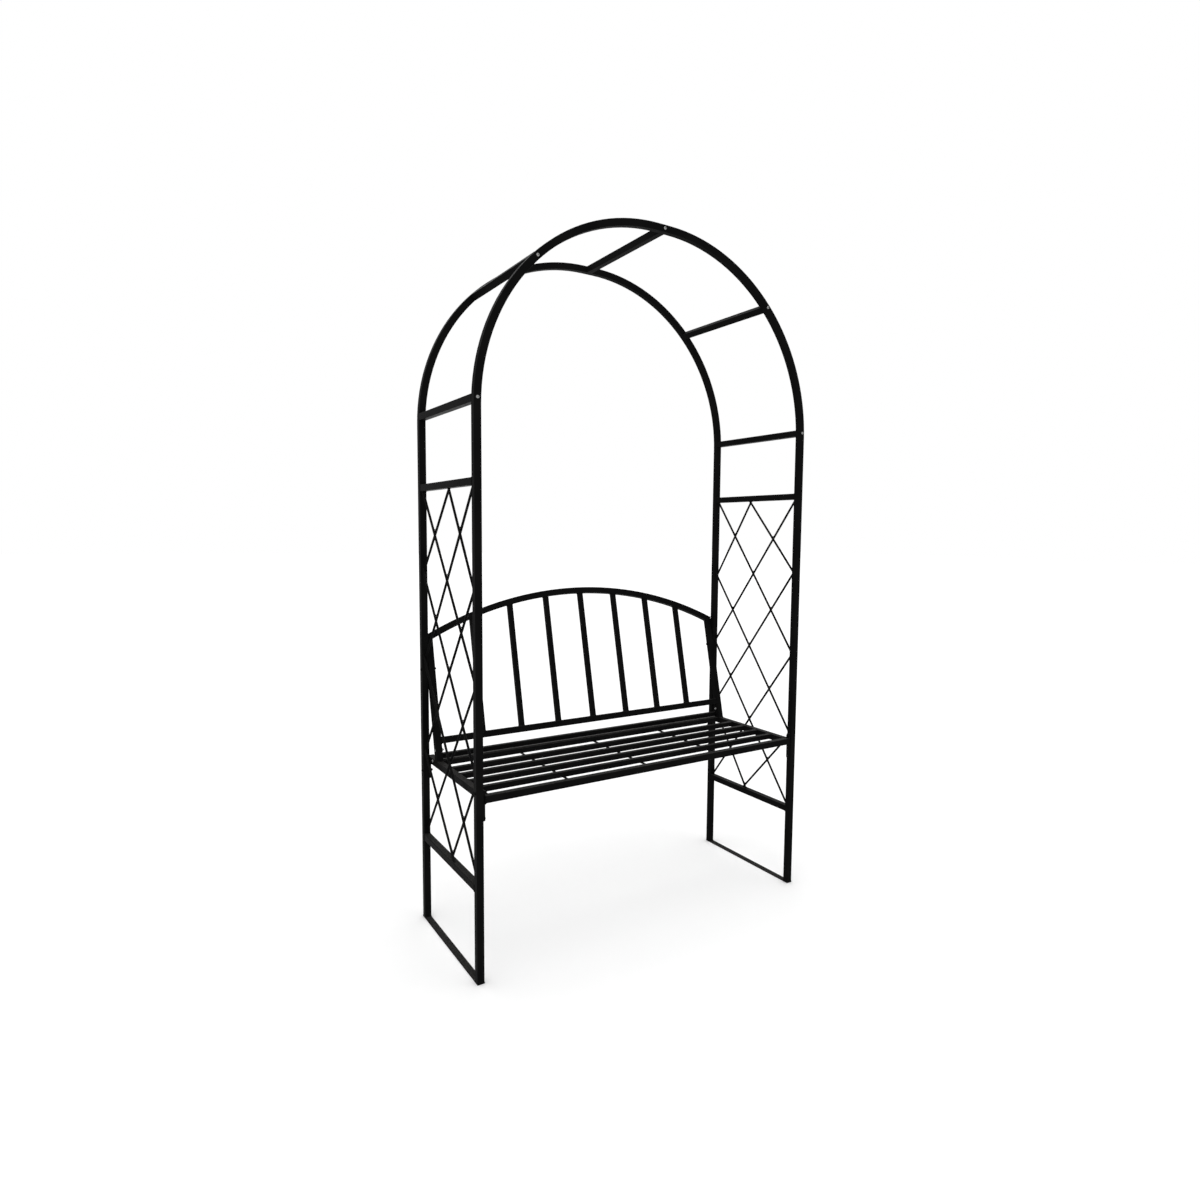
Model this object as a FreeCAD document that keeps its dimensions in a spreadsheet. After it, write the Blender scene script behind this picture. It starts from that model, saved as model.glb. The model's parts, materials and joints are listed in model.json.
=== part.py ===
import FreeCAD, Part
import Sketcher
import math
import os

# Garden arbour seat: two side panels with a rod lattice, two hoops joined by five rungs,
# and a slatted bench with a leaning back bolted between the posts.
# Millimetres. X runs across the seat, Y runs from front to back, Z is up.
# The origin is on the ground, at the middle of the overall width and depth.

doc = FreeCAD.newDocument("ArbourSeat")
sheet = doc.addObject("Spreadsheet::Sheet", "Size")

DRIVING_SIZES = [
    # side panels and hoops
    ("width", 1152),                # over the two side panels
    ("depth", 442),                 # over the front and rear posts
    ("tube", 20),                   # square tube of posts, bars, hoops and rungs
    ("wall", 1),                    # wall of every tube
    ("corner_radius", 1.5),         # along the outer corners of every tube
    ("post_height", 1490),          # ground to the joint between post and hoop
    ("lower_bar_height", 260),      # middle of the bar under the lattice
    ("upper_bar_height", 1325),     # middle of the bar over the lattice
    ("lattice_rod", 7),             # diameter
    ("ground_strip", 2.5),          # thickness of the flat strip under the posts
    ("hoop_tail", 25),              # straight end of a hoop above the joint
    ("hoop_radius", 544),           # of each of a hoop's two bends, on the centre line
    ("end_rung_rise", 42),          # joint to the first and last rung
    ("side_rung_angle", 46),        # degrees up each bend to the second and fourth rung
    ("joint_spigot", 64),           # length of the square stub inside each joint
    ("joint_spigot_reach", 24),     # its length inside the hoop
    # bench
    ("seat_height", 510),           # top of the side bars and slats
    ("front_rail", 20),             # square tube of the front rail
    ("rear_rail", 16),              # square tube of the rear rail
    ("rear_rail_y", 166),           # middle of the rear rail
    ("slat", 16),                   # square tube of the slats and spindles
    ("first_slat_y", -137.5),       # middle of the foremost slat
    ("slat_pitch", 67.5),           # between the first four slats
    ("last_slat_gap", 3),           # between the last slat and the rear rail
    ("cross_rod", 6),               # diameter of the rods under the slats
    ("cross_rod_pitch", 272),       # between those rods
    ("lug_thickness", 6),           # flat lugs that carry the seat frame
    ("lug_width", 12),
    ("lug_drop", 68),               # seat top to the lower end of a lug
    ("front_lug_rise", 14),         # seat top to the upper end of a front lug
    ("front_upper_bolt_height", 518),
    ("front_lower_bolt_height", 448),
    ("rear_bolt_height", 466),
    ("bar_bolt_y", 172),            # bolt through the side bar, under the rear rail
    ("bar_bolt_height", 504),
    # back
    ("lean", 13.2),                 # degrees from upright
    ("back_foot_y", 144),           # middle of the stile where it meets the seat
    ("back_bolt_height", 780),      # bolt from the post into the stile
    ("back_foot_bolt_rise", 32),    # up the stile to the bolt through its spigot
    ("back_spigot", 60),            # stub inside the foot of each stile
    ("back_lower_rail_rise", 60),   # up the back to the middle of the lower rail
    ("back_corner_rise", 374),      # up the back to the corner of stile and top rail
    ("back_crown_rise", 502),       # up the back to the middle of the top rail
    ("spindle_pitch", 133.3),
    # fasteners
    ("bolt", 5),                    # shank diameter
    ("bolt_hole", 5.4),
    ("bolt_head", 9),               # diameter
    ("bolt_head_height", 2.5),
    ("nut_flats", 8),
    ("nut_height", 4),
    ("nut_plate", 5),               # thickness of the tapped plate inside a rung's end
]

for row, (alias, number) in enumerate(DRIVING_SIZES, start=1):
    sheet.set(f"A{row}", alias)
    sheet.set(f"B{row}", str(number))
    sheet.setAlias(f"B{row}", alias)
doc.recompute()


def size(expression):
    """The number that an expression on the sheet's cells stands for."""
    return float(sheet.evalExpression(expression))


# Places that several pieces share, as expressions on the sheet's cells.
# Y is counted from the middle between the posts, and place() moves it to the origin.
POST_X = "(Size.width - Size.tube) / 2"
POST_Y = "(Size.depth - Size.tube) / 2"
POST_INNER_X = "(Size.width / 2 - Size.tube)"
POST_INNER_Y = "(Size.depth / 2 - Size.tube)"
HOOP_CENTRE_X = f"({POST_X} - Size.hoop_radius)"
SIDE_BAR_X = f"({POST_INNER_X} - Size.tube / 2)"
SIDE_BAR_INNER_X = f"({POST_INNER_X} - Size.tube)"
LUG_X = f"({POST_INNER_X} - Size.lug_thickness / 2)"
LUG_INNER_X = f"({POST_INNER_X} - Size.lug_thickness)"
LEAN = "(Size.lean * 1 deg)"
LAST_SLAT_Y = "(Size.rear_rail_y - (Size.rear_rail + Size.slat) / 2 - Size.last_slat_gap)"
BACK_SAGITTA = "(Size.back_crown_rise - Size.back_corner_rise)"
BACK_RADIUS = f"(({SIDE_BAR_X} ^ 2 + {BACK_SAGITTA} ^ 2) / (2 * {BACK_SAGITTA}))"
BACK_CENTRE_RISE = f"(Size.back_crown_rise - {BACK_RADIUS})"
BACK_END_ANGLE = f"asin({SIDE_BAR_X} / {BACK_RADIUS})"
BACK_MITRE = f"tan(45 deg - {BACK_END_ANGLE} / 2)"
FRONT_REACH = "(Size.depth / 2 + Size.bolt_head_height)"
CROWN_REACH = f"((Size.back_crown_rise + Size.tube / 2) * sin({LEAN}))"
REAR_REACH = f"(Size.back_foot_y + {CROWN_REACH} + Size.tube / 2 * cos({LEAN}))"
MIDDLE_Y = f"(({REAR_REACH} - {FRONT_REACH}) / 2)"

# Turns that lay a piece's own Z axis along the frame's X or Y axis
UPRIGHT = FreeCAD.Rotation()
ALONG_X = FreeCAD.Rotation(FreeCAD.Vector(0, 1, 0), 90)
ALONG_Y = FreeCAD.Rotation(FreeCAD.Vector(1, 0, 0), -90)
LEANING = FreeCAD.Rotation(FreeCAD.Vector(1, 0, 0), -size("Size.lean"))

SIDES = (("left", -1), ("right", 1))
ENDS = (("front", -1), ("rear", 1))

# The rods of the lattice are welded by hand: how far each sits above its even place, top rod first
ROD_LIFTS = {
    "left": {"falling": (11, 11, 28, 25, 20), "rising": (15, 28, 17, 17, 7)},
    "right": {"falling": (0, 13, -2, 5, 6), "rising": (11, 6, 23, 3, 8)},
}
# Both side panels are made alike and one is turned round. In the outer and in the inner layer
# the first and last rod, at the corners, are this many degrees steeper than the others.
CORNER_TURNS = {"outer": (4, -5), "inner": (-5, 3)}
# How much longer than its part in the panel each rod is drawn before it is trimmed
ROD_SURPLUS = 1.2

parts = []


# Helpers for bodies and sketches

def new_body(name):
    body = doc.addObject("PartDesign::Body", name)
    body.Label = name
    parts.append(body)
    return body


def origin_feature(body, role):
    return [feature for feature in body.Origin.OriginFeatures if feature.Role == role][0]


def new_sketch(body, plane, name):
    sketch = body.newObject("Sketcher::SketchObject", f"{body.Name}_{name}")
    sketch.AttachmentSupport = [(origin_feature(body, plane), "")]
    sketch.MapMode = "FlatFace"
    return sketch


def pin(sketch, geometry, point, spot):
    """Fix a point of the sketch by two expressions."""
    for kind, expression in zip(("DistanceX", "DistanceY"), spot):
        value = size(expression)
        index = sketch.addConstraint(Sketcher.Constraint(kind, -1, 1, geometry, point, value))
        sketch.setExpression(f"Constraints[{index}]", expression)


def draw_outline(sketch, corners):
    """A closed outline with straight edges; every corner is a pair of expressions."""
    first = sketch.GeometryCount
    spots = [FreeCAD.Vector(size(across), size(up), 0) for across, up in corners]
    for index, spot in enumerate(spots):
        sketch.addGeometry(Part.LineSegment(spot, spots[(index + 1) % len(spots)]))
    for index, corner in enumerate(corners):
        following = first + (index + 1) % len(corners)
        sketch.addConstraint(Sketcher.Constraint("Coincident", first + index, 2, following, 1))
        pin(sketch, first + index, 1, corner)


def draw_rectangle(sketch, wide, high, across="0", up="0"):
    left, right = f"{across} - {wide} / 2", f"{across} + {wide} / 2"
    low, top = f"{up} - {high} / 2", f"{up} + {high} / 2"
    draw_outline(sketch, [(left, low), (right, low), (right, top), (left, top)])


def draw_rounded_square(sketch, side, across, up):
    """A square outline whose corners are rounded by the tube's corner radius."""
    first = sketch.GeometryCount
    left, right = f"{across} - {side} / 2", f"{across} + {side} / 2"
    low, top = f"{up} - {side} / 2", f"{up} + {side} / 2"
    radius = "Size.corner_radius"
    flats = [
        ((right, f"{low} + {radius}"), (right, f"{top} - {radius}")),
        ((f"{right} - {radius}", top), (f"{left} + {radius}", top)),
        ((left, f"{top} - {radius}"), (left, f"{low} + {radius}")),
        ((f"{left} + {radius}", low), (f"{right} - {radius}", low)),
    ]
    centres = [
        (f"{right} - {radius}", f"{top} - {radius}"),
        (f"{left} + {radius}", f"{top} - {radius}"),
        (f"{left} + {radius}", f"{low} + {radius}"),
        (f"{right} - {radius}", f"{low} + {radius}"),
    ]
    for start, stop in flats:
        ends = [FreeCAD.Vector(size(spot[0]), size(spot[1]), 0) for spot in (start, stop)]
        line = sketch.addGeometry(Part.LineSegment(*ends))
        pin(sketch, line, 1, start)
        pin(sketch, line, 2, stop)
    for quarter, centre in enumerate(centres):
        middle = FreeCAD.Vector(size(centre[0]), size(centre[1]), 0)
        circle = Part.Circle(middle, FreeCAD.Vector(0, 0, 1), size(radius))
        start = quarter * math.pi / 2
        arc = sketch.addGeometry(Part.ArcOfCircle(circle, start, start + math.pi / 2))
        following = first + (quarter + 1) % 4
        sketch.addConstraint(Sketcher.Constraint("Coincident", arc, 1, first + quarter, 2))
        sketch.addConstraint(Sketcher.Constraint("Coincident", arc, 2, following, 1))
        index = sketch.addConstraint(Sketcher.Constraint("Radius", arc, size(radius)))
        sketch.setExpression(f"Constraints[{index}]", radius)


def draw_tube_section(sketch, side, across="0", up="0"):
    draw_rounded_square(sketch, side, across, up)
    bore = f"({side} - 2 * Size.wall)"
    draw_rectangle(sketch, bore, bore, across, up)


def draw_circle(sketch, spot, diameter):
    centre = FreeCAD.Vector(size(spot[0]), size(spot[1]), 0)
    circle = sketch.addGeometry(Part.Circle(centre, FreeCAD.Vector(0, 0, 1), size(diameter) / 2))
    pin(sketch, circle, 3, spot)
    index = sketch.addConstraint(Sketcher.Constraint("Diameter", circle, size(diameter)))
    sketch.setExpression(f"Constraints[{index}]", diameter)


def pad(body, sketch, length, symmetric=False):
    feature = body.newObject("PartDesign::Pad", f"{sketch.Name}_pad")
    feature.Profile = sketch
    feature.setExpression("Length", length)
    if symmetric:
        feature.SideType = "Symmetric"
    doc.recompute()
    return feature


def cut_through(body, sketch):
    """Cut the sketch's outline away, all the way through on both sides."""
    volume = body.Shape.Volume
    feature = body.newObject("PartDesign::Pocket", f"{sketch.Name}_cut")
    feature.Profile = sketch
    feature.Type = "ThroughAll"
    feature.SideType = "Symmetric"
    doc.recompute()
    if body.Shape.Volume >= volume:
        raise RuntimeError(f"{feature.Name} removes nothing")
    return feature


def drill(body, plane, name, spots, diameter="Size.bolt_hole"):
    sketch = new_sketch(body, plane, name)
    for spot in spots:
        draw_circle(sketch, spot, diameter)
    return cut_through(body, sketch)


def drill_one_wall(body, name, spot, towards):
    """Drill only the wall on the side of the body's own X axis that towards gives, 1 or -1."""
    sketch = new_sketch(body, "YZ_Plane", name)
    draw_circle(sketch, spot, "Size.bolt_hole")
    feature = body.newObject("PartDesign::Pocket", f"{sketch.Name}_cut")
    feature.Profile = sketch
    feature.Type = "ThroughAll"
    feature.Reversed = towards > 0
    doc.recompute()
    for side in (1, -1):
        in_wall = FreeCAD.Vector(side * size("(Size.tube - Size.wall) / 2"), *map(size, spot))
        if body.Shape.isInside(in_wall, size("Size.wall / 4"), False) == (side == towards):
            raise RuntimeError(f"{feature.Name} drills the wrong wall")


def place(piece, where, turn=UPRIGHT):
    """Turn the piece, then put its origin at the point that three expressions give."""
    x, y, z = where
    piece.Placement = FreeCAD.Placement(FreeCAD.Vector(), turn)
    piece.setExpression("Placement.Base.x", x)
    piece.setExpression("Placement.Base.y", f"{y} - {MIDDLE_Y}")
    piece.setExpression("Placement.Base.z", z)


def straight_tube(name, side, length, symmetric=True, start="0"):
    """A tube along its own Z axis, about its origin or upwards from a starting height."""
    body = new_body(name)
    section = new_sketch(body, "XY_Plane", "section")
    section.setExpression("AttachmentOffset.Base.z", start)
    draw_tube_section(section, side)
    pad(body, section, length, symmetric)
    return body


def signed(sign, expression):
    return expression if sign > 0 else f"-({expression})"


# Side panels

def make_post(side, side_sign, end, end_sign):
    """A post that stands on the ground strip, with cross holes for the bench's bolts."""
    body = straight_tube(
        f"{side}_{end}_post", "Size.tube", "Size.post_height - Size.ground_strip",
        symmetric=False, start="Size.ground_strip")
    if end == "front":
        heights = ["Size.front_upper_bolt_height"]
        drill_one_wall(body, "lower_bolt_hole", ("0", "Size.front_lower_bolt_height"), -side_sign)
    else:
        heights = ["Size.rear_bolt_height", "Size.back_bolt_height"]
    drill(body, "YZ_Plane", "bolt_holes", [("0", height) for height in heights])
    place(body, (signed(side_sign, POST_X), signed(end_sign, POST_Y), "0"))


def make_ground_strip(side, side_sign):
    """The flat strip on the ground that both posts of a side panel stand on."""
    body = new_body(f"{side}_ground_strip")
    section = new_sketch(body, "XY_Plane", "section")
    draw_rectangle(section, "Size.tube", "Size.ground_strip")
    pad(body, section, "Size.depth", symmetric=True)
    place(body, (signed(side_sign, POST_X), "0", "Size.ground_strip / 2"), ALONG_Y)


def make_crossbar(side, side_sign, level):
    body = straight_tube(f"{side}_{level}_crossbar", "Size.tube", f"2 * {POST_INNER_Y}")
    place(body, (signed(side_sign, POST_X), "0", f"Size.{level}_bar_height"), ALONG_Y)


def make_lattice_layer(side, side_sign, layer, direction):
    """Five nearly even rods of one layer, cut flush with the posts and the crossbars.

    The lattice has four rows of diamonds. Each rod falls two rows while it crosses
    the panel, but the first and the last cross only half of it, at a corner.
    The rods of the two layers touch where they cross.
    """
    name = f"{side}_lattice_{layer}_rods"
    top = "(Size.upper_bar_height - Size.tube / 2)"
    bottom = "(Size.lower_bar_height + Size.tube / 2)"
    row_height = f"(({top} - {bottom}) / 4)"
    half_width = POST_INNER_Y
    offset = f"{signed(side_sign, POST_X)} + {direction} * Size.lattice_rod / 2"

    first_turn, last_turn = CORNER_TURNS["outer" if side_sign == direction else "inner"]
    rods = []
    for index, lift in enumerate(ROD_LIFTS[side][layer]):
        # the middle of a corner rod lies half way from the panel's centre line to the post
        aside = {0: 0.5, 4: -0.5}.get(index, 0)
        steeper = {0: first_turn, 4: last_turn}.get(index, 0)
        from_upright = f"(atan({half_width} / {row_height}) - {steeper} deg)"
        half_length = f"({ROD_SURPLUS} * sqrt({half_width} ^ 2 + {row_height} ^ 2))"
        middle_y = f"{direction * aside} * {half_width}"
        middle_z = f"{top} + {lift} - {index + aside} * {row_height}"
        rod = doc.addObject("Part::Cylinder", f"{name}_{index}")
        rod.setExpression("Radius", "Size.lattice_rod / 2")
        rod.setExpression("Height", f"2 * {half_length}")
        place(rod, (
            offset,
            f"{middle_y} + {direction} * {half_length} * sin({from_upright})",
            f"{middle_z} - {half_length} * cos({from_upright})"),
            FreeCAD.Rotation(FreeCAD.Vector(1, 0, 0), direction * size(from_upright)))
        rods.append(rod)
    layer_rods = doc.addObject("Part::Compound", f"{name}_lines")
    layer_rods.Links = rods
    opening = doc.addObject("Part::Box", f"{name}_opening")
    opening.setExpression("Length", "Size.tube")
    opening.setExpression("Width", f"2 * {half_width}")
    opening.setExpression("Height", f"{top} - {bottom}")
    place(opening, (f"{signed(side_sign, POST_X)} - Size.tube / 2", f"-{half_width}", bottom))
    trimmed = doc.addObject("Part::Common", name)
    trimmed.Base = layer_rods
    trimmed.Tool = opening
    trimmed.Label = name
    parts.append(trimmed)


# Hoops and rungs

def rung_spots():
    """The middle of each rung in the plane of a hoop, and its turn in degrees."""
    end_height = "Size.post_height + Size.end_rung_rise"
    bend_height = "Size.post_height + Size.hoop_tail"
    across = f"{HOOP_CENTRE_X} + Size.hoop_radius * cos(Size.side_rung_angle * 1 deg)"
    up = f"{bend_height} + Size.hoop_radius * sin(Size.side_rung_angle * 1 deg)"
    angle = size("Size.side_rung_angle")
    return [
        (f"-({POST_X})", end_height, 0),
        (f"-({across})", up, angle),
        ("0", f"{bend_height} + Size.hoop_radius", 0),
        (across, up, -angle),
        (POST_X, end_height, 0),
    ]


def make_hoop(end, end_sign):
    """A hoop with a straight tail at each end, two quarter bends and a short flat crown."""
    body = new_body(f"{end}_hoop")
    path = new_sketch(body, "XZ_Plane", "path")
    foot = "Size.post_height"
    bend = "(Size.post_height + Size.hoop_tail)"
    crown = f"({bend} + Size.hoop_radius)"
    corners = [
        (f"-({POST_X})", foot), (f"-({POST_X})", bend),
        (f"-{HOOP_CENTRE_X}", crown), (HOOP_CENTRE_X, crown),
        (POST_X, bend), (POST_X, foot)]
    spots = [FreeCAD.Vector(size(across), size(up), 0) for across, up in corners]
    for first, last in ((0, 1), (2, 3), (4, 5)):
        path.addGeometry(Part.LineSegment(spots[first], spots[last]))
    for sign, start, stop in ((-1, 90, 180), (1, 0, 90)):
        centre = FreeCAD.Vector(sign * size(HOOP_CENTRE_X), size(bend), 0)
        circle = Part.Circle(centre, FreeCAD.Vector(0, 0, 1), size("Size.hoop_radius"))
        path.addGeometry(Part.ArcOfCircle(circle, math.radians(start), math.radians(stop)))
    left_tail, flat_crown, right_tail, left_bend, right_bend = range(5)
    for line, first, last in ((left_tail, 0, 1), (flat_crown, 2, 3), (right_tail, 4, 5)):
        pin(path, line, 1, corners[first])
        pin(path, line, 2, corners[last])
    joints = (
        (left_bend, 2, left_tail, 2), (left_bend, 1, flat_crown, 1),
        (right_bend, 2, flat_crown, 2), (right_bend, 1, right_tail, 1))
    for arc, arc_end, line, line_end in joints:
        path.addConstraint(Sketcher.Constraint("Coincident", arc, arc_end, line, line_end))
    for arc in (left_bend, right_bend):
        index = path.addConstraint(Sketcher.Constraint("Radius", arc, size("Size.hoop_radius")))
        path.setExpression(f"Constraints[{index}]", "Size.hoop_radius")

    section = new_sketch(body, "XY_Plane", "section")
    section.setExpression("AttachmentOffset.Base.z", foot)
    draw_tube_section(section, "Size.tube", across=f"-({POST_X})")
    doc.recompute()
    pipe = body.newObject("PartDesign::AdditivePipe", f"{end}_hoop_pipe")
    pipe.Profile = section
    pipe.Spine = path
    doc.recompute()
    drill(body, "XZ_Plane", "bolt_holes", [(across, up) for across, up, angle in rung_spots()])
    place(body, ("0", signed(end_sign, POST_Y), "0"))


def make_rung(number, across, up, angle):
    body = straight_tube(f"rung_{number}", "Size.tube", f"2 * {POST_INNER_Y}")
    turn = FreeCAD.Rotation(FreeCAD.Vector(0, 1, 0), -angle).multiply(ALONG_Y)
    place(body, (across, "0", up), turn)


def make_joint_spigots():
    """The square stubs inside the four joints between posts and hoops, as one group."""
    stubs = []
    for side, side_sign in SIDES:
        for end, end_sign in ENDS:
            stub = doc.addObject("Part::Box", f"{side}_{end}_stub")
            bore = doc.addObject("Part::Box", f"{side}_{end}_stub_bore")
            inside = "(Size.tube - 2 * Size.wall)"
            for box, wide in ((stub, inside), (bore, f"({inside} - 2 * Size.wall)")):
                box.setExpression("Length", wide)
                box.setExpression("Width", wide)
                box.setExpression("Height", "Size.joint_spigot")
                place(box, (
                    f"{signed(side_sign, POST_X)} - {wide} / 2",
                    f"{signed(end_sign, POST_Y)} - {wide} / 2",
                    "Size.post_height + Size.joint_spigot_reach - Size.joint_spigot"))
            hollow = doc.addObject("Part::Cut", f"{side}_{end}_hollow_stub")
            hollow.Base = stub
            hollow.Tool = bore
            stubs.append(hollow)
    group = doc.addObject("Part::Compound", "joint_spigots")
    group.Links = stubs
    group.Label = "joint_spigots"
    parts.append(group)


# Seat

def make_lug(side, side_sign, end, end_sign):
    """A flat lug that bolts a corner of the seat frame to its post.

    The front lug closes the end of the front rail and the rear one hangs under its side bar.
    """
    body = new_body(f"{side}_{end}_lug")
    blank = new_sketch(body, "XY_Plane", "blank")
    draw_rectangle(blank, "Size.lug_thickness", "Size.lug_width")
    low = "(Size.seat_height - Size.lug_drop)"
    if end == "front":
        pad(body, blank, "Size.lug_drop + Size.front_lug_rise")
        heights = ["Size.front_lower_bolt_height", "Size.front_upper_bolt_height"]
    else:
        pad(body, blank, "Size.lug_drop - Size.tube")
        heights = ["Size.rear_bolt_height"]
    drill(body, "YZ_Plane", "bolt_holes", [("0", f"{height} - {low}") for height in heights])
    place(body, (signed(side_sign, LUG_X), signed(end_sign, POST_Y), low))


def make_seat_frame():
    front = straight_tube("seat_front_rail", "Size.front_rail", f"2 * {LUG_INNER_X}")
    front_y = "(Size.front_rail / 2 - Size.depth / 2)"
    place(front, ("0", front_y, "Size.seat_height - Size.front_rail / 2"), ALONG_X)

    # the rear rail ends on the middle of each side bar's top
    rear = straight_tube("seat_rear_rail", "Size.rear_rail", f"2 * {SIDE_BAR_X}")
    place(rear, ("0", "Size.rear_rail_y", "Size.seat_height + Size.rear_rail / 2"), ALONG_X)

    start = f"({front_y} + Size.front_rail / 2)"
    for side, side_sign in SIDES:
        bar = straight_tube(
            f"seat_{side}_bar", "Size.tube", f"Size.depth / 2 - {start}", symmetric=False)
        # the bar's own Y axis points down
        drill(bar, "YZ_Plane", "bolt_holes", [(
            "Size.seat_height - Size.tube / 2 - Size.bar_bolt_height",
            f"Size.bar_bolt_y - {start}")])
        place(bar, (
            signed(side_sign, SIDE_BAR_X), start, "Size.seat_height - Size.tube / 2"), ALONG_Y)

    for number in range(1, 6):
        slat = straight_tube(f"seat_slat_{number}", "Size.slat", f"2 * {SIDE_BAR_INNER_X}")
        place_y = f"Size.first_slat_y + {number - 1} * Size.slat_pitch" if number < 5 else LAST_SLAT_Y
        place(slat, ("0", place_y, "Size.seat_height - Size.slat / 2"), ALONG_X)

    for name, step in (("left", -1), ("middle", 0), ("right", 1)):
        rod = new_body(f"seat_cross_rod_{name}")
        section = new_sketch(rod, "XY_Plane", "section")
        draw_circle(section, ("0", "0"), "Size.cross_rod")
        pad(rod, section, f"{LAST_SLAT_Y} + Size.slat / 2 - {start}")
        height = "Size.seat_height - Size.slat - Size.cross_rod / 2"
        place(rod, (f"{step} * Size.cross_rod_pitch", start, height), ALONG_Y)


# Back: its own frame has Z up the lean and its origin where the back meets the seat

def place_on_back(body, across, rise, turn=UPRIGHT):
    where = (
        across,
        f"Size.back_foot_y + ({rise}) * sin({LEAN})",
        f"Size.seat_height + ({rise}) * cos({LEAN})")
    place(body, where, LEANING.multiply(turn))


def cut_level_foot(body, half_depth):
    """Cut the foot of a leaning piece level, where it stands on the side bar."""
    foot = new_sketch(body, "YZ_Plane", "level_foot")
    reach = f"({half_depth} + Size.wall)"
    low = f"-{reach}"
    draw_outline(foot, [
        (low, f"{low} - Size.tube"), (reach, f"{low} - Size.tube"),
        (reach, f"{reach} * tan({LEAN})"), (low, f"{low} * tan({LEAN})")])
    cut_through(body, foot)


def leaning_post(name, side, length):
    """An upright of the back, with its foot cut level."""
    body = straight_tube(
        name, side, f"{length} + Size.tube / 2", symmetric=False, start="-Size.tube / 2")
    cut_level_foot(body, f"{side} / 2")
    return body


def make_stile(side, side_sign):
    body = leaning_post(f"back_{side}_stile", "Size.tube", "Size.back_corner_rise + Size.tube")
    mitre = new_sketch(body, "XZ_Plane", "mitre")
    outer = signed(side_sign, "(Size.tube / 2 + Size.wall)")
    inner = signed(-side_sign, "(Size.tube / 2 + Size.wall)")
    reach = "(Size.tube / 2 + Size.wall)"
    peak = "Size.back_corner_rise + 2 * Size.tube"
    draw_outline(mitre, [
        (inner, f"Size.back_corner_rise - {reach} * {BACK_MITRE}"),
        (outer, f"Size.back_corner_rise + {reach} * {BACK_MITRE}"),
        (outer, peak), (inner, peak)])
    cut_through(body, mitre)
    bolt_rise = f"(Size.back_bolt_height - Size.seat_height) / cos({LEAN})"
    drift = f"({POST_Y} - Size.back_foot_y - (Size.back_bolt_height - Size.seat_height) * tan({LEAN}))"
    drill(body, "YZ_Plane", "bolt_holes", [
        ("0", "Size.back_foot_bolt_rise"),
        (f"{drift} * cos({LEAN})", f"{bolt_rise} + {drift} * sin({LEAN})")])
    place_on_back(body, signed(side_sign, SIDE_BAR_X), "0")


def make_back_spigot(side, side_sign):
    body = leaning_post(f"back_{side}_spigot", "(Size.tube - 2 * Size.wall)", "Size.back_spigot")
    drill(body, "YZ_Plane", "bolt_hole", [("0", "Size.back_foot_bolt_rise")])
    place_on_back(body, signed(side_sign, SIDE_BAR_X), "0")


def make_back_top_rail():
    """The bowed rail, revolved about the middle of its bow and mitred at both corners."""
    body = new_body("back_top_rail")
    section = new_sketch(body, "YZ_Plane", "section")
    draw_tube_section(section, "Size.tube", up=BACK_RADIUS)
    bow = body.newObject("PartDesign::Revolution", "back_top_rail_bow")
    bow.Profile = section
    bow.ReferenceAxis = (origin_feature(body, "Y_Axis"), [""])
    bow.Midplane = True
    bow.setExpression("Angle", f"2 * {BACK_END_ANGLE} + 2 deg")
    doc.recompute()
    corner_rise = f"({BACK_RADIUS} - {BACK_SAGITTA})"
    for side, side_sign in SIDES:
        mitre = new_sketch(body, "XZ_Plane", f"{side}_mitre")
        reach = "(2 * Size.tube)"
        inner = signed(side_sign, f"({SIDE_BAR_X} - {reach})")
        outer = signed(side_sign, f"({SIDE_BAR_X} + {reach})")
        low = f"{corner_rise} - 4 * Size.tube"
        draw_outline(mitre, [
            (inner, f"{corner_rise} - {reach} * {BACK_MITRE}"),
            (outer, f"{corner_rise} + {reach} * {BACK_MITRE}"),
            (outer, low), (inner, low)])
        cut_through(body, mitre)
    place_on_back(body, "0", BACK_CENTRE_RISE)


def make_back_lower_rail():
    body = straight_tube("back_lower_rail", "Size.tube", f"2 * {SIDE_BAR_INNER_X}")
    place_on_back(body, "0", "Size.back_lower_rail_rise", ALONG_X)


def make_spindle(number):
    """A spindle cut to the slope of the top rail's underside."""
    foot = "(Size.back_lower_rail_rise + Size.tube / 2)"
    across = f"({number - 4} * Size.spindle_pitch)"
    inner_radius = f"({BACK_RADIUS} - Size.tube / 2)"
    body = straight_tube(
        f"back_spindle_{number}", "Size.slat", f"Size.back_crown_rise - {foot}", symmetric=False)

    def underside(offset):
        return f"{BACK_CENTRE_RISE} + sqrt({inner_radius} ^ 2 - ({across} + {offset}) ^ 2) - {foot}"

    slope = new_sketch(body, "XZ_Plane", "slope")
    left, right = "(-Size.slat / 2 - Size.wall)", "(Size.slat / 2 + Size.wall)"
    peak = "Size.back_crown_rise"
    draw_outline(slope, [
        (left, underside(left)), (right, underside(right)), (right, peak), (left, peak)])
    cut_through(body, slope)
    place_on_back(body, across, foot)


# Fasteners: each kind is a group of separate solids

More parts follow.
